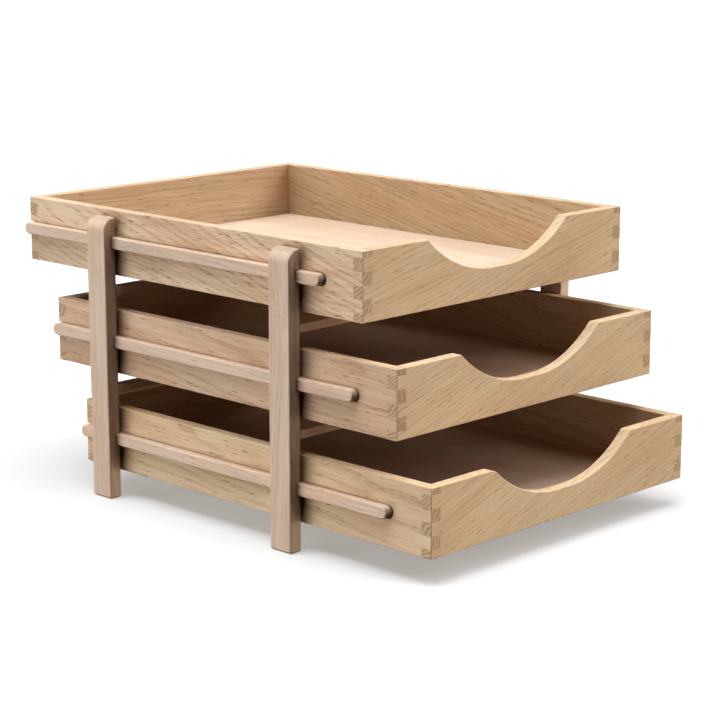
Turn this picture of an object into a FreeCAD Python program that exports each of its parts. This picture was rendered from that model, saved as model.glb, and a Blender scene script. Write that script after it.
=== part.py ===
"""Letter tray: three finger-jointed wooden trays that slide in a stand of two post frames.

Millimetres. +Z is up, the scooped fronts face -Y, and +X is to the right. The origin is on the
surface the stand rests on, under the middle of the middle tray, which is also the middle of the
whole object. The top tray stands one stagger further back than the middle one, and the bottom
tray one stagger further forward.
"""
import FreeCAD
import Part
import math
import os
import Sketcher

DRIVING_SIZES = (
    ("tray_width", 250.0, "outside width of a tray"),
    ("tray_length", 323.0, "outside length of a tray, front to back"),
    ("tray_height", 44.0, "height of the four walls of a tray"),
    ("board", 8.0, "thickness of the walls"),
    ("finger", 8.5, "height of one finger of the corner joints"),
    ("top_finger", 4.25, "height of the side wall's finger at the rim"),
    ("panel", 4.0, "thickness of the floor panel"),
    ("panel_lift", 2.0, "underside of the floor panel above the walls' lower edge"),
    ("panel_groove", 4.0, "how far the floor panel reaches into each wall"),
    ("scoop_chord", 135.0, "width of the front scoop at the rim"),
    ("scoop_depth", 24.8, "depth of the front scoop below the rim"),
    ("scoop_flat", 12.0, "straight stretch at the bottom of the scoop"),
    ("shoulder", 2.0, "radius where the scoop meets the rim"),
    ("soft_shoulder", 10.0, "the same at the left of the bottom tray, which is sanded rounder"),
    ("rail_height", 8.0, "height of a rail, whose ends are half round"),
    ("rail_seat", 2.8, "depth of the groove that the rail is let into"),
    ("rail_reach", 5.2, "how far a rail stands out from the side wall"),
    ("rail_lift", 18.6, "underside of a rail above the walls' lower edge"),
    ("rail_setback", 32.5, "front end of a rail behind the front of the tray"),
    ("groove_lead", 1.3, "length of groove left open ahead of the rail"),
    ("groove_play", 0.3, "gap above and below a rail in its groove"),
    ("post_side", 9.5, "thickness of a post, left to right"),
    ("post_depth", 18.5, "depth of a post, front to back"),
    ("post_height", 193.6, "height of a post"),
    ("post_gap", 2.0, "gap between a side wall and the post's inner face"),
    ("post_spacing", 176.4, "distance from the front posts to the rear posts"),
    ("post_round", 8.4, "radius of the post's rounded outer top edge"),
    ("notch_depth", 3.8, "depth of the notch in the post that a rail slides through"),
    ("rail_play", 0.3, "play above and below a rail in its notch"),
    ("first_level", 18.6, "lower edge of the bottom tray above the ground"),
    ("level_pitch", 67.6, "height from one tray to the next"),
    ("stagger", 28.3, "step between two trays, front to back"),
    ("crossbar_drop", 12.7, "underside of a crossbar below the tray over it"),
    ("crossbar_height", 5.2, "height of a crossbar"),
    ("crossbar_depth", 8.0, "depth of a crossbar, front to back"),
    ("tenon_length", 5.0, "how far a crossbar's tenon enters the post"),
    ("tenon_shoulder", 1.0, "shoulder all round a crossbar's tenon"),
    ("soft_edge", 0.5, "radius of the eased edges of the boards"),
    ("round_edge", 0.9, "radius of the eased edges of posts and rails"),
    ("foot_edge", 1.4, "chamfer round the foot of a post"),
)

doc = FreeCAD.newDocument("LetterTray")
sizes = doc.addObject("Spreadsheet::Sheet", "sizes")
for row, (alias, value, note) in enumerate(DRIVING_SIZES, start=1):
    sizes.set(f"A{row}", note)
    sizes.set(f"B{row}", str(value))
    sizes.setAlias(f"B{row}", alias)
doc.recompute()

sub_parts = []


def formula(text):
    """Size names written as [name] become references to the sheet."""
    return text.replace("[", "sizes.").replace("]", "")


def size_of(text):
    """The value, in millimetres, of a formula of size names."""
    return float(sizes.evalExpression(formula(text)))


# ------------------------------------------------------------------ bodies and sketches


def new_body(label):
    body = doc.addObject("PartDesign::Body", label)
    body.Label = label
    sub_parts.append(body)
    return body


def place(body, x, y, z):
    for axis, text in zip("xyz", (x, y, z)):
        body.setExpression(f"Placement.Base.{axis}", formula(text))


def new_sketch(body, role, offset="0"):
    """A sketch on one of the body's origin planes, or parallel to it at an offset."""
    sketch = body.newObject("Sketcher::SketchObject", "Sketch")
    plane = next(feature for feature in body.Origin.OriginFeatures if feature.Role == role)
    sketch.AttachmentSupport = (plane, [""])
    sketch.MapMode = "FlatFace"
    sketch.setExpression("AttachmentOffset.Base.z", formula(offset))
    return sketch


def bind(sketch, kind, *arguments):
    """A dimension whose value follows a formula, given last."""
    *geometry, text = arguments
    index = sketch.addConstraint(Sketcher.Constraint(kind, *geometry, size_of(text)))
    sketch.setExpression(f"Constraints[{index}]", formula(text))


def join(sketch, first, second):
    """The end of one edge meets the start of the next."""
    sketch.addConstraint(Sketcher.Constraint("Coincident", first, 2, second, 1))


def draw_rectangle(sketch, left, low, width, height):
    """A rectangle from its lower left corner, its four sizes bound to the sheet."""
    x, y, across, up = (size_of(text) for text in (left, low, width, height))
    corners = [(x, y), (x + across, y), (x + across, y + up), (x, y + up)]
    points = [FreeCAD.Vector(u, v, 0) for u, v in corners]
    sides = [
        sketch.addGeometry(Part.LineSegment(points[n], points[(n + 1) % 4]), False)
        for n in range(4)
    ]
    for n, side in enumerate(sides):
        join(sketch, side, sides[(n + 1) % 4])
        direction = "Vertical" if n % 2 else "Horizontal"
        sketch.addConstraint(Sketcher.Constraint(direction, side))
    bind(sketch, "DistanceX", -1, 1, sides[0], 1, left)
    bind(sketch, "DistanceY", -1, 1, sides[0], 1, low)
    bind(sketch, "DistanceX", sides[0], 1, sides[0], 2, width)
    bind(sketch, "DistanceY", sides[1], 1, sides[1], 2, height)


def draw_slot(sketch, start, end, low, height):
    """A level slot with half-round ends, from start to end."""
    radius = size_of(height) / 2
    u0, u1 = size_of(start) + radius, size_of(end) - radius
    centre = size_of(low) + radius
    point = FreeCAD.Vector
    axis = point(0, 0, 1)
    half_turn = math.pi / 2
    lower = Part.LineSegment(point(u0, centre - radius, 0), point(u1, centre - radius, 0))
    upper = Part.LineSegment(point(u1, centre + radius, 0), point(u0, centre + radius, 0))
    far = Part.Circle(point(u1, centre, 0), axis, radius)
    near = Part.Circle(point(u0, centre, 0), axis, radius)
    far_arc = Part.ArcOfCircle(far, -half_turn, half_turn)
    near_arc = Part.ArcOfCircle(near, half_turn, 3 * half_turn)
    edges = [sketch.addGeometry(edge, False) for edge in (lower, far_arc, upper, near_arc)]
    for n, edge in enumerate(edges):
        following = edges[(n + 1) % 4]
        sketch.addConstraint(Sketcher.Constraint("Tangent", edge, 2, following, 1))
    sketch.addConstraint(Sketcher.Constraint("Horizontal", edges[0]))
    bind(sketch, "Radius", edges[3], f"{height} / 2")
    bind(sketch, "DistanceX", -1, 1, edges[3], 3, f"{start} + {height} / 2")
    bind(sketch, "DistanceY", -1, 1, edges[3], 3, f"{low} + {height} / 2")
    bind(sketch, "DistanceX", edges[3], 3, edges[1], 3, f"{end} - {start} - {height}")


def draw_scoop(sketch):
    """The outline of the front scoop: a short flat between two arcs that end at the rim."""
    rim, middle = size_of("[tray_height]"), size_of("[tray_width] / 2")
    half_chord, depth = size_of("[scoop_chord] / 2"), size_of("[scoop_depth]")
    half_flat = size_of("[scoop_flat] / 2")
    run = half_chord - half_flat
    radius = (run**2 + depth**2) / (2 * depth)
    sweep = math.asin(run / radius)
    point = FreeCAD.Vector
    base = rim - depth
    left = Part.Circle(point(middle - half_flat, base + radius, 0), point(0, 0, 1), radius)
    right = Part.Circle(point(middle + half_flat, base + radius, 0), point(0, 0, 1), radius)
    down = -math.pi / 2
    left_arc = sketch.addGeometry(Part.ArcOfCircle(left, down - sweep, down), False)
    ends = [point(middle - half_flat, base, 0), point(middle + half_flat, base, 0)]
    flat = sketch.addGeometry(Part.LineSegment(*ends), False)
    right_arc = sketch.addGeometry(Part.ArcOfCircle(right, down, down + sweep), False)
    ends = [point(middle + half_chord, rim, 0), point(middle - half_chord, rim, 0)]
    closing = sketch.addGeometry(Part.LineSegment(*ends), False)
    sketch.addConstraint(Sketcher.Constraint("Tangent", left_arc, 2, flat, 1))
    sketch.addConstraint(Sketcher.Constraint("Tangent", flat, 2, right_arc, 1))
    join(sketch, right_arc, closing)
    join(sketch, closing, left_arc)
    sketch.addConstraint(Sketcher.Constraint("Horizontal", flat))
    sketch.addConstraint(Sketcher.Constraint("Horizontal", closing))
    bind(sketch, "DistanceX", -1, 1, closing, 2, "([tray_width] - [scoop_chord]) / 2")
    bind(sketch, "DistanceX", closing, 2, closing, 1, "[scoop_chord]")
    bind(sketch, "DistanceY", -1, 1, closing, 2, "[tray_height]")
    bind(sketch, "DistanceX", -1, 1, flat, 1, "([tray_width] - [scoop_flat]) / 2")
    bind(sketch, "DistanceX", flat, 1, flat, 2, "[scoop_flat]")
    bind(sketch, "DistanceY", flat, 1, closing, 2, "[scoop_depth]")


# ------------------------------------------------------------------ features


def pad(body, sketch, length, reverse=False, both_ways=False):
    feature = body.newObject("PartDesign::Pad", "Pad")
    feature.Profile = sketch
    feature.setExpression("Length", formula(length))
    feature.Reversed = reverse
    feature.Midplane = both_ways


def pocket(body, sketch, depth, reverse):
    """Cuts against the sketch's normal, or along it if reverse is set."""
    doc.recompute()
    before = body.Shape.Volume
    feature = body.newObject("PartDesign::Pocket", "Pocket")
    feature.Profile = sketch
    feature.setExpression("Length", formula(depth))
    feature.Reversed = reverse
    doc.recompute()
    if body.Shape.Volume > before - 1.0:
        raise RuntimeError(f"{body.Label}: a pocket cut nothing")
    return feature


def repeat_in_height(body, feature, sketch, span, count, downwards=False):
    """Repeats a cut at equal steps up or down the body, over the given span."""
    pattern = body.newObject("PartDesign::LinearPattern", "Pattern")
    pattern.Originals = [feature]
    pattern.Direction = (sketch, ["V_Axis"])
    pattern.Reversed = downwards
    pattern.setExpression("Length", formula(span))
    pattern.Occurrences = count
    body.Tip = pattern
    doc.recompute()


def near(*values):
    return max(values) - min(values) < 0.01


def edges_where(body, test):
    """Names of the body's edges whose box passes the test, given its low and high corners."""
    doc.recompute()
    names = []
    for index, edge in enumerate(body.Shape.Edges, start=1):
        box = edge.BoundBox
        low = FreeCAD.Vector(box.XMin, box.YMin, box.ZMin)
        high = FreeCAD.Vector(box.XMax, box.YMax, box.ZMax)
        if test(low, high):
            names.append(f"Edge{index}")
    return names


def ease(body, size, test, kind="Fillet"):
    """Rounds or chamfers every edge of the body that passes the test."""
    names = edges_where(body, test)
    before = body.Shape.Volume
    feature = body.newObject(f"PartDesign::{kind}", kind)
    feature.Base = (feature.BaseFeature, names)
    feature.setExpression("Radius" if kind == "Fillet" else "Size", formula(size))
    doc.recompute()
    if feature.Shape.isNull() or feature.Shape.Volume > before - 0.01:
        raise RuntimeError(f"{body.Label}: the {kind} of {len(names)} edges failed")


# ------------------------------------------------------------------ trays
#
# A wall is drawn on the plane of its outer face and padded inwards. The normal of XZ_Plane is -Y
# and that of YZ_Plane is +X, so inwards is along the normal for the back and left walls only.


def wall(label, role, length, along_normal, first_socket, panel_span):
    """A wall board with finger sockets at both ends and the groove for the floor panel."""
    body = new_body(label)
    outline = new_sketch(body, role)
    draw_rectangle(outline, "0", "0", length, "[tray_height]")
    pad(body, outline, "[board]", reverse=not along_normal)

    sockets = new_sketch(body, role)
    for start in ("0", f"{length} - [board]"):
        draw_rectangle(sockets, start, first_socket, "[board]", "[finger]")
    cut = pocket(body, sockets, "[board]", reverse=along_normal)
    repeat_in_height(body, cut, sockets, "4 * [finger]", 3, downwards=True)

    inner_face = "[board]" if along_normal else "-[board]"
    groove = new_sketch(body, role, inner_face)
    start = f"({length} - {panel_span}) / 2"
    draw_rectangle(groove, start, "[panel_lift]", panel_span, "[panel]")
    pocket(body, groove, "[panel_groove]", reverse=not along_normal)
    return body


PANEL_WIDTH = "([tray_width] - 2 * [board] + 2 * [panel_groove])"
PANEL_LENGTH = "([tray_length] - 2 * [board] + 2 * [panel_groove])"
GROOVE_LOW = "([rail_lift] - [groove_play])"
GROOVE_HEIGHT = "([rail_height] + 2 * [groove_play])"


def end_wall(label, along_normal, shoulders=()):
    """The front wall, given its scoop's left and right shoulder, or the back wall.

    The rails' grooves run out through the back wall's fingers.
    """
    first_socket = "[tray_height] - [top_finger]"
    body = wall(label, "XZ_Plane", "[tray_width]", along_normal, first_socket, PANEL_WIDTH)
    inner = "-[board]" if along_normal else "[board]"
    width, height, inner_y = (size_of(text) for text in ("[tray_width]", "[tray_height]", inner))
    scoop_start = size_of("([tray_width] - [scoop_chord]) / 2")
    scoop_base = size_of("[tray_height] - [scoop_depth]")
    if shoulders:
        scoop = new_sketch(body, "XZ_Plane")
        draw_scoop(scoop)
        pocket(body, scoop, "[board]", reverse=along_normal)
        for radius, x in zip(shoulders, (scoop_start, width - scoop_start)):
            ease(body, radius, lambda low, high: near(low.x, high.x, x) and near(low.z, height))
    else:
        rail_ends = new_sketch(body, "XZ_Plane")
        for start in ("0", "[tray_width] - [rail_seat]"):
            draw_rectangle(rail_ends, start, GROOVE_LOW, "[rail_seat]", GROOVE_HEIGHT)
        pocket(body, rail_ends, "[board]", reverse=along_normal)
    scoop_reach = scoop_start - size_of("[soft_shoulder]")

    def on_rim(low, high):
        in_scoop = low.x > scoop_reach and high.x < width - scoop_reach
        return near(low.z, high.z, height) or in_scoop and low.z > scoop_base - 0.1

    def exposed(low, high):
        at_end = near(low.x, high.x, 0) or near(low.x, high.x, width)
        outline = at_end or near(low.z, high.z, 0) or on_rim(low, high)
        outer = near(low.y, high.y, 0) and outline
        return outer or near(low.y, high.y, inner_y) and on_rim(low, high)

    ease(body, "[soft_edge]", exposed)
    return body


def side_wall(label, along_normal):
    """A side wall. Its rail's groove has a round front end and runs out through the back."""
    first_socket = "[tray_height] - [top_finger] - [finger]"
    body = wall(label, "YZ_Plane", "[tray_length]", along_normal, first_socket, PANEL_LENGTH)
    groove = new_sketch(body, "YZ_Plane")
    start, end = "([rail_setback] - [groove_lead])", "([tray_length] + 2 * [rail_height])"
    draw_slot(groove, start, end, GROOVE_LOW, GROOVE_HEIGHT)
    pocket(body, groove, "[rail_seat]", reverse=along_normal)
    inner = "[board]" if along_normal else "-[board]"
    length, height, inner_x = (size_of(text) for text in ("[tray_length]", "[tray_height]", inner))

    def exposed(low, high):
        on_rim = near(low.z, high.z, height)
        at_end = near(low.y, high.y, 0) or near(low.y, high.y, length)
        outer = near(low.x, high.x, 0) and (on_rim or at_end or near(low.z, high.z, 0))
        return outer or on_rim and (at_end or near(low.x, high.x, inner_x))

    ease(body, "[soft_edge]", exposed)
    return body


def rail(label, along_normal):
    """A bar with half-round ends, let into the side wall's groove. Its plane is its outer face."""
    body = new_body(label)
    profile = new_sketch(body, "YZ_Plane")
    draw_slot(profile, "[rail_setback]", "[tray_length]", "[rail_lift]", "[rail_height]")
    pad(body, profile, "[rail_reach] + [rail_seat]", reverse=not along_normal)
    ease(body, "[round_edge]", lambda low, high: near(low.x, high.x, 0))
    return body


def floor_panel(label):
    body = new_body(label)
    outline = new_sketch(body, "XY_Plane")
    draw_rectangle(outline, "0", "0", PANEL_WIDTH, PANEL_LENGTH)
    pad(body, outline, "[panel]")
    return body


def tray(name, level):
    """One tray: four walls, a floor panel and two rails. Level 0 is the lowest."""
    front = f"(-[tray_length] / 2 + {level - 1} * [stagger])"
    back = f"({front} + [tray_length])"
    base = f"([first_level] + {level} * [level_pitch])"
    half = "([tray_width] / 2)"
    shoulders = ("[shoulder]" if level else "[soft_shoulder]", "[shoulder]")
    place(end_wall(f"{name}_front_wall", False, shoulders), f"-{half}", front, base)
    place(end_wall(f"{name}_back_wall", True), f"-{half}", back, base)
    inset = "([board] - [panel_groove])"
    panel = floor_panel(f"{name}_floor_panel")
    place(panel, f"-{half} + {inset}", f"{front} + {inset}", f"{base} + [panel_lift]")
    for side, sign, along_normal in (("left", "-", True), ("right", "", False)):
        place(side_wall(f"{name}_{side}_wall", along_normal), f"{sign}{half}", front, base)
        outer = f"{sign}({half} + [rail_reach])"
        place(rail(f"{name}_{side}_rail", along_normal), outer, front, base)


# ------------------------------------------------------------------ stand


def post(label, along_normal):
    """A post on its inner face's plane, with notches for the rails and mortises for crossbars."""
    body = new_body(label)
    outline = new_sketch(body, "YZ_Plane")
    draw_rectangle(outline, "0", "0", "[post_depth]", "[post_height]")
    pad(body, outline, "[post_side]", reverse=not along_normal)
    outer = size_of("[post_side]" if along_normal else "-[post_side]")
    height, depth, foot = (size_of(f"[{name}]") for name in ("post_height", "post_depth", "foot_edge"))

    def outer_top(low, high):
        return near(low.x, high.x, outer) and near(low.z, high.z, height)

    def long_edge(low, high):
        on_side = near(low.y, high.y, 0) or near(low.y, high.y, depth)
        return on_side and high.z > foot + 0.1

    ease(body, "[post_round]", outer_top)
    ease(body, "[foot_edge]", lambda low, high: near(low.z, high.z, 0), kind="Chamfer")
    ease(body, "[round_edge]", long_edge)

    notches = new_sketch(body, "YZ_Plane")
    low = "[first_level] + [rail_lift] - [rail_play]"
    high = "[rail_height] + 2 * [rail_play]"
    draw_rectangle(notches, "-1", low, "[post_depth] + 2", high)
    cut = pocket(body, notches, "[notch_depth]", reverse=along_normal)
    repeat_in_height(body, cut, notches, "2 * [level_pitch]", 3)

    mortises = new_sketch(body, "YZ_Plane")
    low = "[first_level] + [level_pitch] - [crossbar_drop] + [tenon_shoulder]"
    tenon = [f"[crossbar_{size}] - 2 * [tenon_shoulder]" for size in ("depth", "height")]
    draw_rectangle(mortises, "[tenon_shoulder]", low, *tenon)
    cut = pocket(body, mortises, "[tenon_length]", reverse=along_normal)
    repeat_in_height(body, cut, mortises, "[level_pitch]", 2)
    return body


def crossbar(label):
    """A bar between two posts, with a shouldered tenon at each end."""
    body = new_body(label)
    span = "([tray_width] + 2 * [post_gap])"
    bar = new_sketch(body, "YZ_Plane")
    draw_rectangle(bar, "0", "0", "[crossbar_depth]", "[crossbar_height]")
    pad(body, bar, span, both_ways=True)
    tenons = new_sketch(body, "YZ_Plane")
    shoulder = "[tenon_shoulder]"
    tenon = [f"[crossbar_{size}] - 2 * {shoulder}" for size in ("depth", "height")]
    draw_rectangle(tenons, shoulder, shoulder, *tenon)
    pad(body, tenons, f"{span} + 2 * [tenon_length]", both_ways=True)
    return body


def post_frame(name, front):
    """Two posts joined by two crossbars that are flush with the posts' front faces."""
    for side, sign, along_normal in (("left", "-", False), ("right", "", True)):
        inner = f"{sign}([tray_width] / 2 + [post_gap])"
        place(post(f"{name}_{side}_post", along_normal), inner, front, "0")
    for tier, level in (("lower", 1), ("upper", 2)):
        height = f"[first_level] + {level} * [level_pitch] - [crossbar_drop]"
        place(crossbar(f"{name}_{tier}_crossbar"), "0", front, height)


# The rails' mid-length is in line with the middle of the stand when a tray is centred in it.
stand_middle = "[rail_setback] / 2 - [post_depth] / 2"
post_frame("front", f"{stand_middle} - [post_spacing] / 2")
post_frame("rear", f"{stand_middle} + [post_spacing] / 2")
for level, name in enumerate(("bottom_tray", "middle_tray", "top_tray")):
    tray(name, level)
doc.recompute()

# ------------------------------------------------------------------ checks and export

for item in doc.Objects:
    if "Invalid" in item.State or "Error" in item.State:
        raise RuntimeError(f"{item.Label} failed: {item.State}")
for item in sub_parts:
    if item.Shape.isNull() or not item.Shape.isValid() or len(item.Shape.Solids) != 1:
        raise RuntimeError(f"{item.Label} is not one valid solid")

os.makedirs("parts", exist_ok=True)
for item in sub_parts:
    item.Shape.exportStep(f"parts/{item.Label}.step")
print(f"{len(sub_parts)} sub-parts written")
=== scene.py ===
"""Letter tray in soaped oak: procedural wood on every board, a pale floor and soft studio light.

Metres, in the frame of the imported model: +Z up, -Y towards the user. Every board is cut from a
round trunk of its own, so the rings, pores and rays run through it and meet at its edges.
"""
import bpy
import math
from collections import namedtuple
from mathutils import Matrix, Vector


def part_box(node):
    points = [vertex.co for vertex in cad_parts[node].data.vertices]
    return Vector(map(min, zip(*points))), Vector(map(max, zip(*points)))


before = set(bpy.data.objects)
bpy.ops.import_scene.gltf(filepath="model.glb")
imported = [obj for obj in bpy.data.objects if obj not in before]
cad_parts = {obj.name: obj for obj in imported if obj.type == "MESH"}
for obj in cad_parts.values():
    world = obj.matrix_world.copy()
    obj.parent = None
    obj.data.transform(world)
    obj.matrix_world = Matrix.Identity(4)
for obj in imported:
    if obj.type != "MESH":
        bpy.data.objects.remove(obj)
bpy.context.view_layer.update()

MM = 0.001
WHITE = (1.0, 1.0, 1.0)


def direction(azimuth, elevation):
    """The unit vector from the object to a place: 0, 0 is in front and 90, 0 on the right."""
    azimuth, elevation = math.radians(azimuth), math.radians(elevation)
    level = math.cos(elevation)
    return Vector((math.sin(azimuth) * level, -math.cos(azimuth) * level, math.sin(elevation)))


def add_facing(name, data, back):
    """Adds a camera or a lamp that looks the opposite way to back."""
    facing = bpy.data.objects.new(name, data)
    facing.rotation_euler = (-back).to_track_quat("-Z", "Y").to_euler()
    bpy.context.scene.collection.objects.link(facing)
    return facing


# ------------------------------------------------------------------ camera

CAMERA_AZIMUTH = -45.8
CAMERA_ELEVATION = 12.7
CAMERA_DISTANCE = 1.482
CAMERA_AIM = Vector((0.0033, -0.0060, 0.0910))
CAMERA_LENS = 107.9


def make_camera():
    """Looks at the object from the front left and a little above."""
    back = direction(CAMERA_AZIMUTH, CAMERA_ELEVATION)
    camera = add_facing("camera", bpy.data.cameras.new("camera"), back)
    camera.location = CAMERA_AIM + back * CAMERA_DISTANCE
    camera.data.lens = CAMERA_LENS
    bpy.context.scene.camera = camera


# ------------------------------------------------------------------ node helpers

HALF = (0.5, 0.5, 0.5)


class Wiring:
    """Makes and links the nodes of one node tree."""

    def __init__(self, tree):
        self.tree = tree

    def node(self, kind, inputs=None, **settings):
        node = self.tree.nodes.new(kind)
        for name, value in settings.items():
            setattr(node, name, value)
        for name, value in (inputs or {}).items():
            self.feed(node.inputs[name], value)
        return node

    def feed(self, socket, value):
        """Links the socket if value is one too, and sets it otherwise."""
        if isinstance(value, bpy.types.NodeSocket):
            self.tree.links.new(value, socket)
        else:
            socket.default_value = value

    def maths(self, operation, first, second=0.0, clamp=False):
        node = self.node("ShaderNodeMath", {0: first, 1: second}, operation=operation)
        node.use_clamp = clamp
        return node.outputs[0]

    def line(self, value, slope, start):
        return self.maths("ADD", self.maths("MULTIPLY", value, slope), start)

    def vector(self, operation, first, second=(0.0, 0.0, 0.0)):
        node = self.node("ShaderNodeVectorMath", {0: first, 1: second}, operation=operation)
        return node.outputs["Value" if operation in ("LENGTH", "DOT_PRODUCT") else "Vector"]

    def joined(self, x, y, z):
        return self.node("ShaderNodeCombineXYZ", {0: x, 1: y, 2: z}).outputs[0]

    def step(self, value, start, end, low=0.0, high=1.0):
        """Goes smoothly from low to high as value goes from start to end."""
        inputs = {"Value": value, "From Min": start, "From Max": end, "To Min": low, "To Max": high}
        node = self.node("ShaderNodeMapRange", inputs, interpolation_type="SMOOTHSTEP")
        return node.outputs["Result"]

    def noise(self, vector, cell, detail, roughness=0.5):
        """Noise with features as large as cell. Its outputs are around 0.5."""
        inputs = {
            "Vector": self.vector("DIVIDE", vector, cell),
            "Scale": 1.0, "Detail": detail, "Roughness": roughness,
        }
        return self.node("ShaderNodeTexNoise", inputs).outputs

    def wander(self, vector, cell, detail, reach):
        """A random vector around zero, for moving a point by up to about half of reach."""
        noise = self.noise(vector, cell, detail)["Color"]
        return self.vector("MULTIPLY", self.vector("SUBTRACT", noise, HALF), reach)

    def mix(self, factor, first, second):
        """Mixes two colours. The colour sockets go by number, because other kinds share A and B."""
        node = self.node("ShaderNodeMix", data_type="RGBA")
        self.feed(node.inputs["Factor"], factor)
        self.feed(node.inputs[6], first)
        self.feed(node.inputs[7], second)
        return node.outputs[2]

    def cells(self, vector, size):
        """(distance to the nearest cell's middle, that cell's random value)."""
        scaled = self.vector("DIVIDE", vector, size)
        node = self.node("ShaderNodeTexVoronoi", {"Vector": scaled, "Scale": 1.0})
        split = self.node("ShaderNodeSeparateColor", {"Color": node.outputs["Color"]})
        return node.outputs["Distance"], split.outputs[0]


# ------------------------------------------------------------------ oak
# Lengths are in millimetres, along (X, Y, Z) of a trunk whose pith is the Z axis. A (start, end)
# pair is where a smooth step goes from nothing to all of it, or the other way round.

# The trunk isn't straight: its rings wander slowly along it and ripple across it.
SWAY_CELL = (80.0, 80.0, 190.0)
SWAY_REACH = (12.0, 12.0, 0.0)
RIPPLE_CELL = (9.0, 9.0, 45.0)
RIPPLE_REACH = (1.8, 1.8, 0.0)

# Good and bad years differ in width and in how much early wood they have.
RING_WIDTH = 2.6
GROWTH_CELL = (20.0, 20.0, 1.0)
GROWTH_YEARS = 4.0
VIGOUR_LENGTH = 250.0
VIGOUR_STEP = (0.36, 0.64)
VIGOUR_SHARE = 0.8
EARLY_START = (0.0, 0.08)
EARLY_END = (0.25, 0.7)

RAY_CELL = (8.0, 0.8, 3.5)
RAY_KEPT = (0.65, 0.7)
RAY_EDGE = (0.12, 0.30)
RAY_STRENGTH = 0.14
RAY_STRENGTH_AT_ENDS = 0.35

# Pores are slits a few millimetres long, crowded in the early wood, and longer darker ones. Each
# slit is at most as long as its cell, and share is the part of the cells that have one.
Pores = namedtuple("Pores", "cell edge share more_in_early_wood kept")
SHORT_PORES = Pores((0.6, 0.6, 9.0), (0.18, 0.42), 0.08, 0.75, (0.0, 0.04))
LONG_PORES = Pores((1.2, 1.2, 17.0), (0.10, 0.27), 0.16, 0.50, (0.0, 0.05))
SHORT_PORE_DEPTH = 0.5
LONG_PORE_LOSS_AT_ENDS = 0.6

FIBRE_CELL, FIBRE_TONE = (1.2, 1.2, 42.0), 1.7
STREAK_CELL, STREAK_TONE = (5.0, 5.0, 150.0), 1.1
CLOUD_CELL, CLOUD_TONE = (30.0, 30.0, 90.0), 1.2
EARLY_TONE = 0.4
BASE_TONE = 0.36

BLUSH = (1.0, 0.93, 0.90)
BLUSH_STEP = (0.4, 0.7)
RAY_COLOUR = (1.0, 0.95, 0.88, 1.0)
RAY_COLOUR_SHARE = 0.45
END_SHARE = 0.75
END_DARK_EARLY, END_DARK = 0.6, 0.04
PORE_STRENGTH = 0.85

ROUGHNESS = 0.60
PORE_ROUGHNESS = 0.18
RAY_ROUGHNESS_LOSS = 0.10
FIBRE_HEIGHT = 0.35

OAK_INPUTS = {
    "Trunk": "Vector", "End": "Float", "Ray Radius": "Float", "Taper": "Float",
    "Contrast": "Float", "Light": "Color", "Dark": "Color", "Pore": "Color",
}
OAK_OUTPUTS = {"Color": "Color", "Roughness": "Float", "Height": "Float"}


def oak_rings(w, given, bent):
    """(distance from the pith, angle round it, ring, early wood), the last two from 0 to 1."""
    across = w.vector("MULTIPLY", bent, (1.0, 1.0, 0.0))
    parts = w.node("ShaderNodeSeparateXYZ", {0: bent}).outputs
    taper = w.maths("MULTIPLY", parts["Z"], given["Taper"])
    radius = w.maths("ADD", w.vector("LENGTH", across), taper)
    growth = w.noise(across, GROWTH_CELL, 1.0)["Fac"]
    more_years = w.maths("MULTIPLY", growth, GROWTH_YEARS)
    year = w.maths("ADD", w.maths("DIVIDE", radius, RING_WIDTH), more_years)
    angle = w.maths("ARCTAN2", parts["Y"], parts["X"])
    along = w.maths("DIVIDE", parts["Z"], VIGOUR_LENGTH)
    ring_place = w.joined(year, angle, along)
    vigour = w.step(w.noise(ring_place, (1.0, 1.0, 1.0), 1.0)["Fac"], *VIGOUR_STEP)
    season = w.maths("FRACT", year)
    ring = w.maths("MULTIPLY", w.step(season, *EARLY_START), w.step(season, *EARLY_END, 1.0, 0.0))
    early = w.maths("MULTIPLY", ring, w.line(vigour, VIGOUR_SHARE, 1.0 - VIGOUR_SHARE))
    return radius, angle, ring, early


def oak_rays(w, given, bent, radius, angle):
    """Rays are thin radial sheets, light flecks where a face cuts along them."""
    height = w.node("ShaderNodeSeparateXYZ", {0: bent}).outputs["Z"]
    around = w.maths("MULTIPLY", angle, given["Ray Radius"])
    distance, value = w.cells(w.joined(radius, around, height), RAY_CELL)
    kept = w.step(value, *RAY_KEPT)
    return w.maths("MULTIPLY", w.step(distance, *RAY_EDGE, 1.0, 0.0), kept)


def oak_slits(w, bent, early, pores):
    """The slits of one kind of pores, from 0 to 1."""
    distance, value = w.cells(bent, pores.cell)
    crowd = w.line(early, pores.more_in_early_wood, pores.share)
    kept = w.step(w.maths("SUBTRACT", crowd, value), *pores.kept)
    return w.maths("MULTIPLY", w.step(distance, *pores.edge, 1.0, 0.0), kept)


def oak_pores(w, given, bent, early):
    """Both kinds of pores together."""
    short = w.maths("MULTIPLY", oak_slits(w, bent, early, SHORT_PORES), SHORT_PORE_DEPTH)
    loss = w.maths("MULTIPLY", given["End"], LONG_PORE_LOSS_AT_ENDS)
    long = oak_slits(w, bent, early, LONG_PORES)
    return w.maths("MAXIMUM", short, w.maths("MULTIPLY", long, w.maths("SUBTRACT", 1.0, loss)))


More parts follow.
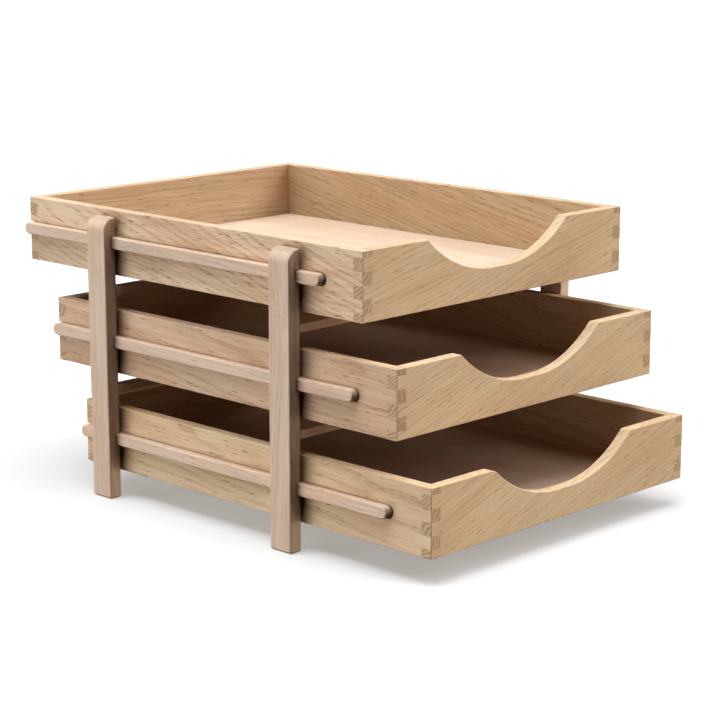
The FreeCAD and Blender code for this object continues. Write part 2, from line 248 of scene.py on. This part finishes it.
def make_oak_group():
    """Oak as a solid. Gives a colour, a roughness and a height for the bump."""
    tree = bpy.data.node_groups.new("oak", "ShaderNodeTree")
    for way, sockets in (("INPUT", OAK_INPUTS), ("OUTPUT", OAK_OUTPUTS)):
        for name, kind in sockets.items():
            tree.interface.new_socket(name, in_out=way, socket_type="NodeSocket" + kind)
    w = Wiring(tree)
    given = w.node("NodeGroupInput").outputs
    trunk = given["Trunk"]

    sway = w.wander(trunk, SWAY_CELL, 1.0, SWAY_REACH)
    ripple = w.wander(trunk, RIPPLE_CELL, 2.0, RIPPLE_REACH)
    bent = w.vector("ADD", w.vector("ADD", trunk, sway), ripple)
    radius, angle, ring, early = oak_rings(w, given, bent)
    ray = oak_rays(w, given, bent, radius, angle)
    pore = oak_pores(w, given, bent, early)

    # Fibres and slow changes of tone.
    fibre = w.noise(bent, FIBRE_CELL, 3.0, roughness=0.6)["Fac"]
    streak = w.noise(bent, STREAK_CELL, 2.0)["Fac"]
    cloud = w.noise(bent, CLOUD_CELL, 2.0)
    tone = w.maths("MULTIPLY", w.maths("SUBTRACT", fibre, 0.5), FIBRE_TONE)
    for source, weight in ((streak, STREAK_TONE), (cloud["Fac"], CLOUD_TONE)):
        change = w.maths("MULTIPLY", w.maths("SUBTRACT", source, 0.5), weight)
        tone = w.maths("ADD", tone, change)
    tone = w.maths("ADD", tone, w.maths("MULTIPLY", early, EARLY_TONE))
    tone = w.maths("MULTIPLY", tone, given["Contrast"])
    tone = w.maths("ADD", tone, BASE_TONE, clamp=True)

    # Colour: patches blush, then come end grain, rays and pores, each over the one before.
    colour = w.mix(tone, given["Light"], given["Dark"])
    patch = w.node("ShaderNodeSeparateColor", {0: cloud["Color"]}).outputs[1]
    colour = w.mix(w.step(patch, *BLUSH_STEP), colour, w.vector("MULTIPLY", colour, BLUSH))
    end_tint = w.mix(w.line(ring, END_DARK_EARLY, END_DARK), given["Dark"], given["Pore"])
    colour = w.mix(w.maths("MULTIPLY", given["End"], END_SHARE), colour, end_tint)
    ray_strength = w.line(given["End"], RAY_STRENGTH_AT_ENDS, RAY_STRENGTH)
    ray_tint = w.mix(RAY_COLOUR_SHARE, given["Light"], RAY_COLOUR)
    colour = w.mix(w.maths("MULTIPLY", ray, ray_strength), colour, ray_tint)
    pore_strength = w.maths("MULTIPLY", given["Contrast"], PORE_STRENGTH, clamp=True)
    colour = w.mix(w.maths("MULTIPLY", pore, pore_strength), colour, given["Pore"])

    rough = w.line(pore, PORE_ROUGHNESS, ROUGHNESS)
    rough = w.maths("SUBTRACT", rough, w.maths("MULTIPLY", ray, RAY_ROUGHNESS_LOSS))
    height = w.maths("SUBTRACT", w.maths("MULTIPLY", fibre, FIBRE_HEIGHT), pore)
    w.node("NodeGroupOutput", {"Color": colour, "Roughness": rough, "Height": height})
    return tree


# ------------------------------------------------------------------ boards

END_STEP = (0.55, 0.95)
BUMP_DISTANCE = 0.12 * MM
BUMP_STRENGTH = 0.5
OAK_SPECULAR = 0.35
TRUNK_SPACING = 1000.0

# How much boards of one kind differ: ring angle in degrees, share of the lean, and distance from
# the pith in millimetres.
SPREAD_TURN = 2.4
RING_ANGLE_SPREAD = 10.0
LEAN_SPREAD = 0.3
PITH_SPREAD = 20.0


def srgb(red, green, blue):
    """A colour given as it looks on a screen, as the shader's linear colour."""
    def linear(value):
        return value / 12.92 if value <= 0.04045 else ((value + 0.055) / 1.055) ** 2.4
    return (linear(red), linear(green), linear(blue), 1.0)


# (light, dark, pore)
WALL = (srgb(0.83, 0.74, 0.63), srgb(0.74, 0.635, 0.52), srgb(0.51, 0.40, 0.30))
# A darker copy of the wall colours, for the middle tray's left wall: painted shade.
PAINTED_SHADE_WALL = (srgb(0.81, 0.715, 0.625), srgb(0.72, 0.61, 0.515), srgb(0.50, 0.39, 0.30))
# A paler copy of the wall colours, for the top tray's left wall: painted light.
PAINTED_LIGHT_WALL = (srgb(0.85, 0.76, 0.67), srgb(0.75, 0.65, 0.55), srgb(0.50, 0.41, 0.33))
PANEL = (srgb(0.83, 0.755, 0.69), srgb(0.76, 0.675, 0.59), srgb(0.59, 0.49, 0.42))
STAND = (srgb(0.845, 0.76, 0.69), srgb(0.755, 0.67, 0.60), srgb(0.55, 0.46, 0.395))
# A darker copy of the stand colours, for the front left post: painted shade.
PAINTED_SHADE_POST = (srgb(0.825, 0.74, 0.67), srgb(0.735, 0.65, 0.58), srgb(0.535, 0.445, 0.38))

X, Y, Z = (1, 0, 0), (0, 1, 0), (0, 0, 1)
FRONT = (0, -1, 0)

# Each kind of board, after the boards that differ from their kind: fibre direction, face, ring
# angle, lean and dive of the fibres in degrees, taper of the rings along the trunk, distance from
# the pith in millimetres, colours and contrast.
Board = namedtuple("Board", "grain face ring_angle lean dive taper pith colours contrast")
BOARDS = {
    "front_wall": Board(X, FRONT, 60.0, 15.0, 1.0, 0.02, 110.0, WALL, 0.75),
    "back_wall": Board(X, FRONT, 55.0, -3.0, 1.0, 0.02, 100.0, WALL, 0.95),
    "top_tray_left_wall": Board(Y, X, 25.0, 2.0, 2.0, 0.16, 60.0, PAINTED_LIGHT_WALL, 1.2),
    "middle_tray_left_wall": Board(Y, X, 20.0, 2.0, 1.5, 0.05, 80.0, PAINTED_SHADE_WALL, 1.0),
    "left_wall": Board(Y, X, 20.0, 2.0, 1.5, 0.05, 80.0, WALL, 1.0),
    "right_wall": Board(Y, X, 40.0, 9.0, 1.0, 0.03, 110.0, WALL, 1.0),
    "floor_panel": Board(Y, Z, 70.0, 1.0, 1.0, 0.02, 160.0, PANEL, 0.8),
    "left_rail": Board(Y, X, 60.0, 1.0, 0.0, 0.02, 70.0, STAND, 0.8),
    "right_rail": Board(Y, X, 60.0, -1.0, 0.0, 0.02, 70.0, STAND, 0.8),
    "front_left_post": Board(Z, X, 60.0, 1.0, 0.0, 0.02, 75.0, PAINTED_SHADE_POST, 0.8),
    "post": Board(Z, X, 60.0, 1.0, 0.0, 0.02, 75.0, STAND, 0.8),
    "crossbar": Board(X, FRONT, 60.0, 0.5, 0.0, 0.02, 75.0, STAND, 0.8),
}


def board_axes(board, spread):
    """The trunk's X, Y and Z as rows, for a board cut from it.

    The way out of the trunk is the face's normal at a ring angle of 0 and lies in the face at 90
    degrees. The fibres lean about the face's normal, and dive into the face.
    """
    ring_angle = math.radians(board.ring_angle + RING_ANGLE_SPREAD * spread)
    lean = math.radians(board.lean * (1.0 + LEAN_SPREAD * spread))
    along, normal = Vector(board.grain), Vector(board.face)
    radial = Matrix.Rotation(ring_angle, 3, along) @ normal
    dive = Matrix.Rotation(math.radians(board.dive), 3, along.cross(normal))
    tilt = Matrix.Rotation(lean, 3, normal) @ dive
    along, radial = tilt @ along, tilt @ radial
    return Matrix((radial, along.cross(radial), along))


def make_oak(node, number, board, group):
    """The oak of one board, from the trunk with that number."""
    spread = math.sin(SPREAD_TURN * number)
    axes = board_axes(board, spread)
    pith = board.pith + PITH_SPREAD * spread
    low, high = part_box(node)
    middle = axes @ ((low + high) / 2 / MM)
    material = bpy.data.materials.new(f"oak_{node}")
    material.use_nodes = True
    tree = material.node_tree
    tree.nodes.clear()
    w = Wiring(tree)
    place = w.node("ShaderNodeTexCoord").outputs
    mapping = w.node("ShaderNodeMapping", {"Vector": place["Object"]})
    mapping.inputs["Scale"].default_value = (1 / MM, 1 / MM, 1 / MM)
    mapping.inputs["Rotation"].default_value = axes.to_euler()
    mapping.inputs["Location"].default_value = Vector((pith, 0.0, TRUNK_SPACING * number)) - middle
    facing = w.vector("DOT_PRODUCT", place["Normal"], tuple(axes[2]))
    light, dark, pore = board.colours
    oak = w.node("ShaderNodeGroup", node_tree=group)
    for socket, value in {
        "Trunk": mapping.outputs[0], "End": w.step(w.maths("ABSOLUTE", facing), *END_STEP),
        "Ray Radius": pith, "Taper": board.taper, "Contrast": board.contrast,
        "Light": light, "Dark": dark, "Pore": pore,
    }.items():
        w.feed(oak.inputs[socket], value)
    bump = w.node("ShaderNodeBump", {
        "Height": oak.outputs["Height"], "Distance": BUMP_DISTANCE, "Strength": BUMP_STRENGTH,
    })
    shader = w.node("ShaderNodeBsdfPrincipled", {
        "Base Color": oak.outputs["Color"], "Roughness": oak.outputs["Roughness"],
        "Normal": bump.outputs[0], "Specular IOR Level": OAK_SPECULAR,
    })
    w.node("ShaderNodeOutputMaterial", {"Surface": shader.outputs[0]})
    return material


def finish_boards():
    """Gives every node the oak of its kind, from a trunk of its own."""
    group = make_oak_group()
    for number, (node, piece) in enumerate(sorted(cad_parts.items()), start=1):
        board = next(board for kind, board in BOARDS.items() if node.endswith(kind))
        piece.data.materials.clear()
        piece.data.materials.append(make_oak(node, number, board, group))


# ------------------------------------------------------------------ floor and light

FLOOR_SIZE = 40.0
FLOOR_GLOW = 0.25
FLOOR_COLOUR = (0.45, 0.44, 0.435, 1.0)
DOME_GLOW = 1.0
DOME_COLOUR = (0.0, 0.0, 0.0, 1.0)
STAGE_ROUGHNESS = 0.9


def stage_material(name, colour, glow):
    material = bpy.data.materials.new(name)
    material.use_nodes = True
    shader = material.node_tree.nodes["Principled BSDF"]
    for socket, value in {
        "Base Color": colour, "Roughness": STAGE_ROUGHNESS, "Specular IOR Level": 0.0,
        "Emission Color": (*WHITE, 1.0), "Emission Strength": glow,
    }.items():
        shader.inputs[socket].default_value = value
    return material


def set_stage(name, colour, glow):
    """Makes the mesh just added a piece of the surroundings, which neither light nor shade."""
    stage_piece = bpy.context.object
    stage_piece.name = name
    stage_piece.data.materials.append(stage_material(name, colour, glow))
    stage_piece.visible_diffuse = False
    stage_piece.visible_glossy = False
    stage_piece.visible_shadow = False


def make_surroundings():
    """A pale floor that shows the shadow, inside a white dome. The camera alone sees them."""
    bpy.ops.mesh.primitive_plane_add(size=FLOOR_SIZE)
    set_stage("floor", FLOOR_COLOUR, FLOOR_GLOW)
    bpy.ops.mesh.primitive_uv_sphere_add(radius=FLOOR_SIZE / 2)
    set_stage("dome", DOME_COLOUR, DOME_GLOW)


def make_sun(name, azimuth, elevation, softness, strength, colour):
    """A lamp so far away that it is even, as wide in the sky as softness. Angles in degrees."""
    data = bpy.data.lights.new(name, "SUN")
    data.angle = math.radians(softness)
    data.energy = strength
    data.color = colour
    add_facing(name, data, direction(azimuth, elevation))


def light_studio():
    """Light from above, from behind on the left and from the front on the right.

    The lamp straight behind is for the views of the back, and hardly reaches what the camera
    sees. The two below the horizon stand for the light that a pale floor throws back up.
    """
    make_sun("above", -90.0, 80.0, 50.0, 2.9, (0.93, 1.0, 1.03))
    make_sun("back_left", -135.0, 30.0, 40.0, 0.47, WHITE)
    make_sun("front_right", 45.0, 38.0, 45.0, 1.53, (1.0, 0.98, 1.0))
    make_sun("behind", 180.0, 0.0, 40.0, 0.9, (1.0, 0.98, 0.95))
    make_sun("floor_on_the_right", 50.0, -20.0, 60.0, 1.45, (1.0, 0.94, 0.78))
    make_sun("floor_on_the_left", -120.0, -15.0, 60.0, 1.55, (1.0, 1.0, 0.98))
    view = bpy.context.scene.view_settings
    view.view_transform = "Standard"
    view.look = "High Contrast"


make_camera()
finish_boards()
make_surroundings()
light_studio()
